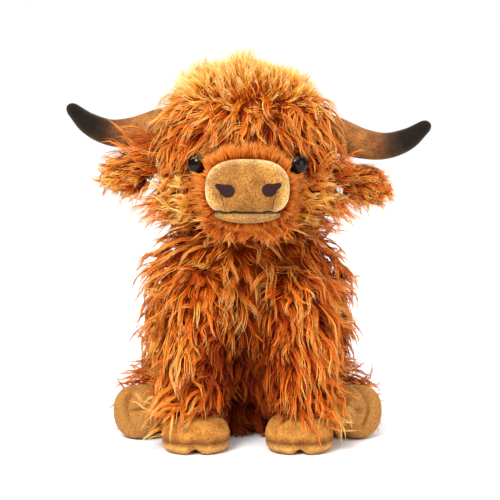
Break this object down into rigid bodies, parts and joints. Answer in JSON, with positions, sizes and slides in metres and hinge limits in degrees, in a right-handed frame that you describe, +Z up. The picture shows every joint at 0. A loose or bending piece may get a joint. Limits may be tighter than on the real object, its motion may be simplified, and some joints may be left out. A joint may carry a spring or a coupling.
{
  "type": "plush cow",
  "caption": "Sitting plush Highland cow with long shaggy orange fur, soft horns, cloven hooves and a turning, nodding head",
  "frame": {"origin": "On the flat of the seat where the toy rests, in its middle plane, 32 mm ahead of the seat's own middle", "axes": "+Z up, front of the toy toward -Y, the toy's own left toward +X"},
  "size_m": [0.2811, 0.2432, 0.2871],
  "materials": {
    "long_pile_fur": "matte",
    "short_pile_fur": "matte",
    "tan_plush": "matte",
    "nose_plush": "matte",
    "horn_plush": "matte",
    "ear_lining": "matte",
    "embroidery": "matte",
    "eye_plastic": "gloss",
    "washer_plastic": "satin",
    "stuffing_fibre": "matte",
    "pouch_cloth": "matte"
  },
  "bodies": {
    "torso": {"seat_panel": "long_pile_fur", "chest_panel": "long_pile_fur", "back_panel_left": "long_pile_fur", "back_panel_right": "long_pile_fur", "torso_stuffing": "stuffing_fibre", "pellet_pouch": "pouch_cloth"},
    "neck": {"neck": "long_pile_fur"},
    "head": {"head_gusset": "long_pile_fur", "head_side_left": "long_pile_fur", "head_side_right": "long_pile_fur", "head_stuffing": "stuffing_fibre", "muzzle_sleeve": "short_pile_fur", "nose_pad": "nose_plush", "lower_lip": "nose_plush", "nostril_left": "embroidery", "nostril_right": "embroidery", "eye_left": "eye_plastic", "eye_right": "eye_plastic", "eye_washer_left": "washer_plastic", "eye_washer_right": "washer_plastic", "horn_left": "horn_plush", "horn_right": "horn_plush"},
    "ear_left": {"ear_left": "long_pile_fur", "ear_lining_left": "ear_lining"},
    "ear_right": {"ear_right": "long_pile_fur", "ear_lining_right": "ear_lining"},
    "foreleg_left": {"foreleg_left": "long_pile_fur", "fore_hoof_left": "tan_plush"},
    "foreleg_right": {"foreleg_right": "long_pile_fur", "fore_hoof_right": "tan_plush"},
    "hindleg_left": {"hindleg_left": "long_pile_fur", "hind_hoof_left": "tan_plush"},
    "hindleg_right": {"hindleg_right": "long_pile_fur", "hind_hoof_right": "tan_plush"},
    "tail": {"tail": "long_pile_fur", "tail_tuft": "long_pile_fur"}
  },
  "joints": [
    {"name": "head_turn", "type": "hinge", "parent": "torso", "child": "neck", "pos_m": [0, -0.008, 0.165], "axis": [0, 0, 1], "range_deg": [-20, 20], "stiffness_Nm_per_rad": 2.5},
    {"name": "head_nod", "type": "hinge", "parent": "neck", "child": "head", "pos_m": [0, -0.008, 0.165], "axis": [1, 0, 0], "range_deg": [-12, 12], "stiffness_Nm_per_rad": 2.5},
    {"name": "ear_left_flap", "type": "hinge", "parent": "head", "child": "ear_left", "pos_m": [0.06664, -0.008, 0.20472], "axis": [0, -1, 0], "range_deg": [-12, 10], "stiffness_Nm_per_rad": 0.05},
    {"name": "ear_right_flap", "type": "hinge", "parent": "head", "child": "ear_right", "pos_m": [-0.0684, -0.008, 0.21132], "axis": [0, 1, 0], "range_deg": [-12, 10], "stiffness_Nm_per_rad": 0.05},
    {"name": "foreleg_left_swing", "type": "hinge", "parent": "torso", "child": "foreleg_left", "pos_m": [0.036, -0.05, 0.112], "axis": [-1, 0, 0], "range_deg": [0, 70], "stiffness_Nm_per_rad": 0.8},
    {"name": "foreleg_right_swing", "type": "hinge", "parent": "torso", "child": "foreleg_right", "pos_m": [-0.036, -0.05, 0.112], "axis": [-1, 0, 0], "range_deg": [0, 70], "stiffness_Nm_per_rad": 0.8},
    {"name": "hindleg_left_splay", "type": "hinge", "parent": "torso", "child": "hindleg_left", "pos_m": [0.05, 0.018, 0.027], "axis": [0, 0, 1], "range_deg": [0, 35], "stiffness_Nm_per_rad": 0.8},
    {"name": "hindleg_right_splay", "type": "hinge", "parent": "torso", "child": "hindleg_right", "pos_m": [-0.05, 0.018, 0.027], "axis": [0, 0, -1], "range_deg": [0, 35], "stiffness_Nm_per_rad": 0.8},
    {"name": "tail_swing", "type": "hinge", "parent": "torso", "child": "tail", "pos_m": [0, 0.09263, 0.06], "axis": [0, 1, 0], "range_deg": [-35, 35], "stiffness_Nm_per_rad": 0.05}
  ]
}
